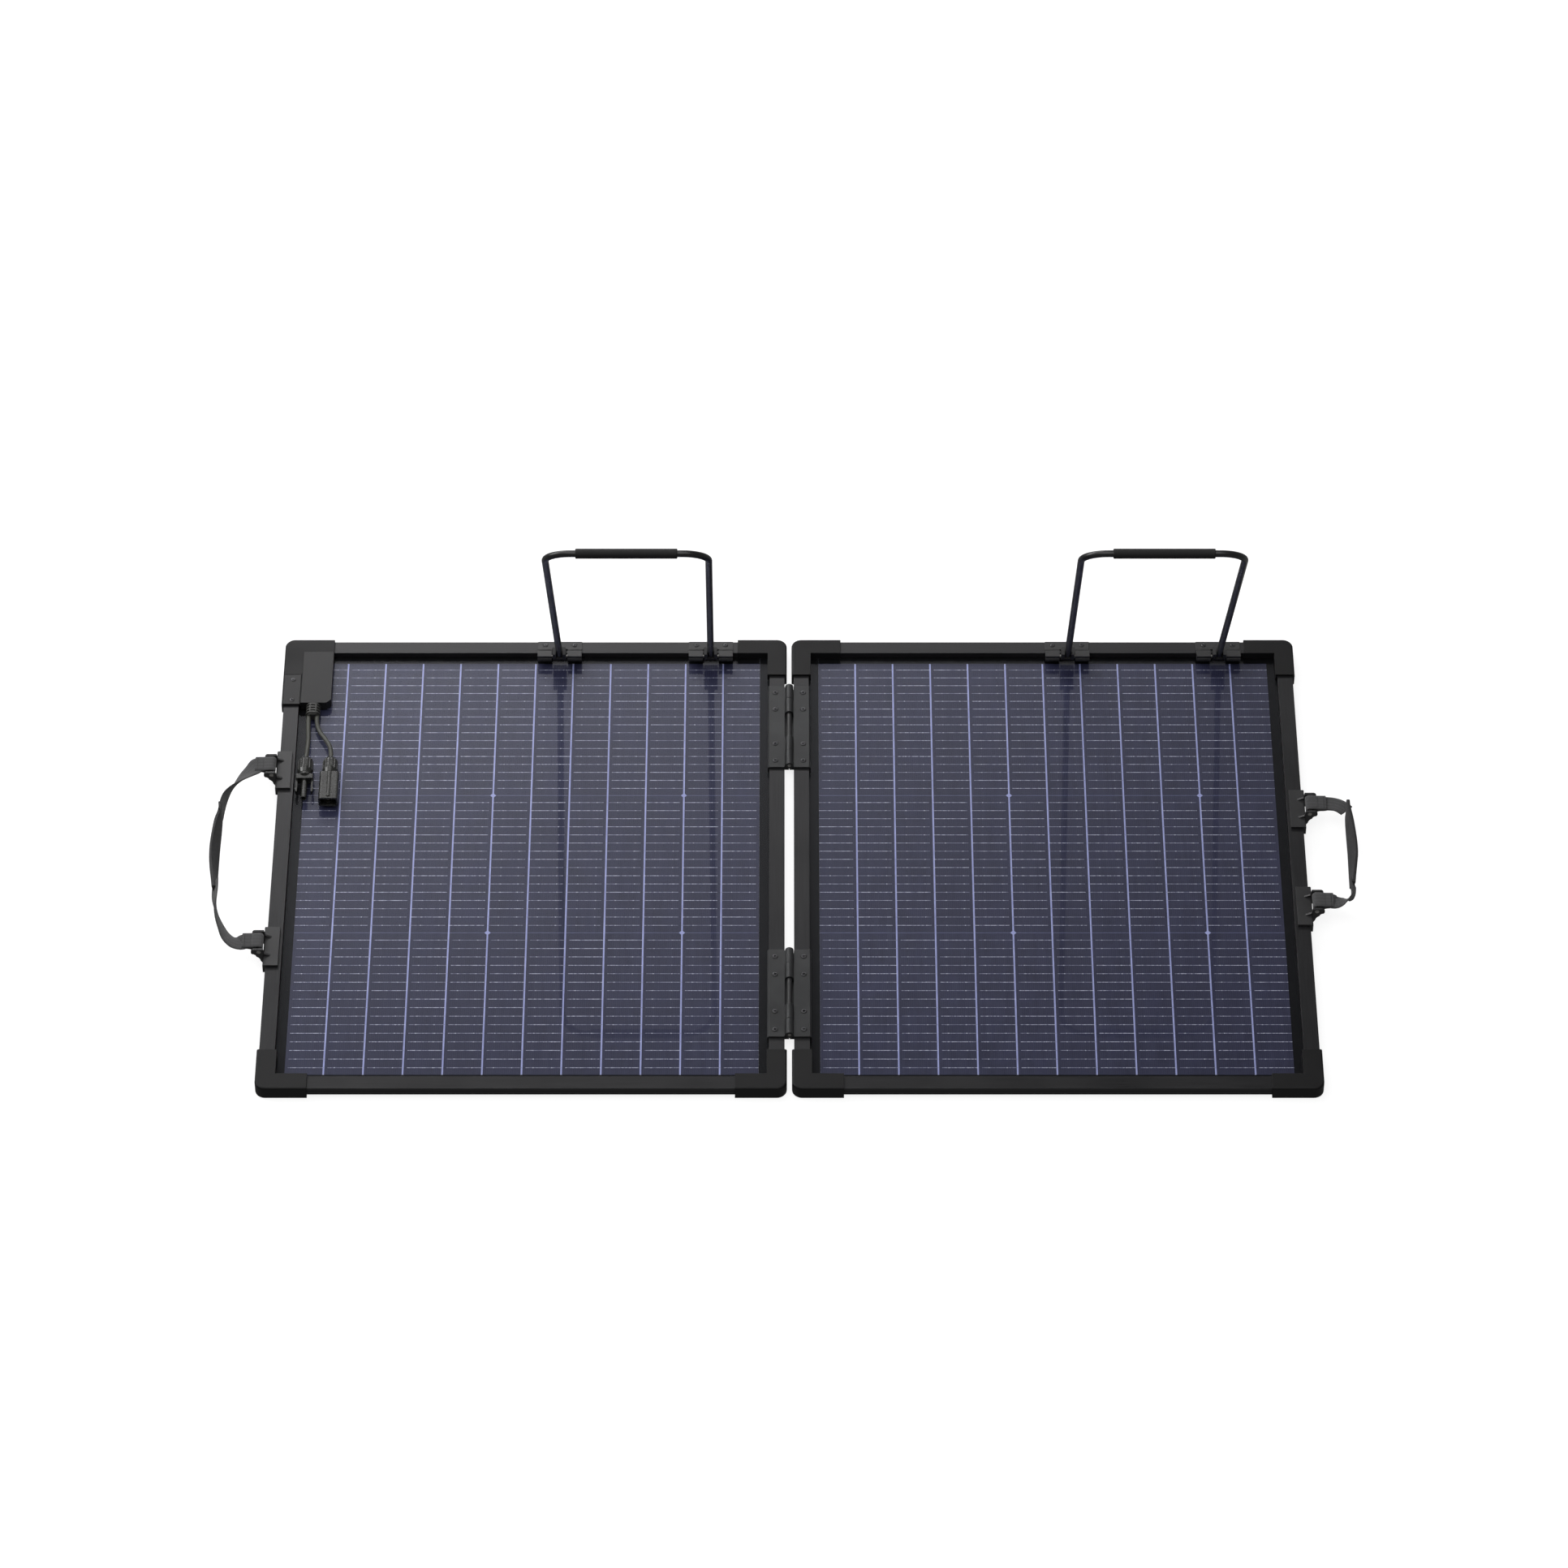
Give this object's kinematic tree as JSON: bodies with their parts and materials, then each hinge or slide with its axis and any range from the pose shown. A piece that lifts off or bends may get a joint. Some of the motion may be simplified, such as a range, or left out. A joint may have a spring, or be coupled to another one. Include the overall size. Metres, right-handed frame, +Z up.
{
  "type": "folding solar suitcase",
  "caption": "Hinged pair of bifacial solar panels in black frames, lying open back side up, with wire kickstands, webbing handles, junction box and connector leads.",
  "frame": {"origin": "on the ground, under the middle of the object's bounding box", "axes": "+X from the junction-box panel to the other panel, +Y towards the kickstand edge, +Z up, away from the sun-side faces"},
  "size_m": [1.1334, 0.6004, 0.3606],
  "materials": {
    "anodised_frame": "fine matte black anodising",
    "cap_plastic": "satin moulded nylon",
    "seal_rubber": "foam tape",
    "panel_glass": "clear, smooth",
    "solar_cells": "dark blue-grey cells in clear encapsulant",
    "hinge_alloy": "matte black powder coat",
    "screw_steel": "black zinc",
    "bare_steel": "blackened steel pin",
    "bracket_plastic": "satin moulded nylon",
    "black_rod": "black powder coat",
    "grip_rubber": "smooth sleeve",
    "webbing": "woven polyester",
    "box_plastic": "fine texture",
    "tinned_copper": "tin plated",
    "diode_epoxy": "moulded epoxy",
    "gland_rubber": "ribbed",
    "cable_jacket": "smooth jacket",
    "connector_plastic": "satin nylon"
  },
  "bodies": {
    "left_panel": {"cable_gland": "gland_rubber", "connector_body_pin_side": "connector_plastic", "connector_body_socket_side": "connector_plastic", "connector_contact_pin": "tinned_copper", "connector_contact_socket": "tinned_copper", "connector_nut_pin_side": "connector_plastic", "connector_nut_socket_side": "connector_plastic", "corner_cap_junction_box": "cap_plastic", "corner_caps_left": "cap_plastic", "handle_brackets_left": "bracket_plastic", "handle_crossbars_left": "bare_steel", "hinge_leaves_left": "hinge_alloy", "hinge_pin_sleeves": "hinge_alloy", "hinge_pins": "bare_steel", "hinge_screws_left": "screw_steel", "junction_box_diodes": "diode_epoxy", "junction_box_housing": "box_plastic", "junction_box_lid": "box_plastic", "junction_box_screws": "screw_steel", "junction_box_terminals": "tinned_copper", "lead_pin_side": "cable_jacket", "lead_socket_side": "cable_jacket", "left_back_glass": "panel_glass", "left_cell_layer": "solar_cells", "left_edge_seal": "seal_rubber", "left_front_glass": "panel_glass", "left_rail_back": "anodised_frame", "left_rail_front": "anodised_frame", "left_rail_inner": "anodised_frame", "left_rail_outer": "anodised_frame", "leg_bracket_screws_left": "screw_steel", "leg_brackets_left": "bracket_plastic", "leg_pivot_pins_left": "bare_steel"},
    "right_panel": {"corner_caps_right": "cap_plastic", "handle_brackets_right": "bracket_plastic", "handle_crossbars_right": "bare_steel", "hinge_leaves_right": "hinge_alloy", "hinge_screws_right": "screw_steel", "leg_bracket_screws_right": "screw_steel", "leg_brackets_right": "bracket_plastic", "leg_pivot_pins_right": "bare_steel", "right_back_glass": "panel_glass", "right_cell_layer": "solar_cells", "right_edge_seal": "seal_rubber", "right_front_glass": "panel_glass", "right_rail_back": "anodised_frame", "right_rail_front": "anodised_frame", "right_rail_inner": "anodised_frame", "right_rail_outer": "anodised_frame"},
    "left_leg": {"leg_grip_left": "grip_rubber", "leg_knuckles_left": "bracket_plastic", "leg_rod_left": "black_rod"},
    "right_leg": {"leg_grip_right": "grip_rubber", "leg_knuckles_right": "bracket_plastic", "leg_rod_right": "black_rod"},
    "left_handle": {"handle_grip_left": "webbing", "handle_strap_left": "webbing"},
    "right_handle": {"handle_grip_right": "webbing", "handle_strap_right": "webbing"}
  },
  "joints": [
    {"name": "fold", "type": "hinge", "parent": "left_panel", "child": "right_panel", "pos_m": [0.0055, 0, 0.0148], "axis": [0, -1, 0], "range_deg": [0, 90]},
    {"name": "left_leg", "type": "hinge", "parent": "left_panel", "child": "left_leg", "pos_m": [-0.1505, 0.2752, 0.0156], "axis": [1, 0, 0], "range_deg": [0, 60]},
    {"name": "right_leg", "type": "hinge", "parent": "right_panel", "child": "right_leg", "pos_m": [0.3642, 0.2752, 0.0156], "axis": [1, 0, 0], "range_deg": [0, 60]},
    {"name": "left_handle", "type": "hinge", "parent": "left_panel", "child": "left_handle", "pos_m": [-0.5101, 0, 0.0203], "axis": [0, 1, 0], "range_deg": [-20, 90]},
    {"name": "right_handle", "type": "hinge", "parent": "right_panel", "child": "right_handle", "pos_m": [0.5211, 0, 0.0203], "axis": [0, -1, 0], "range_deg": [-20, 90]}
  ]
}
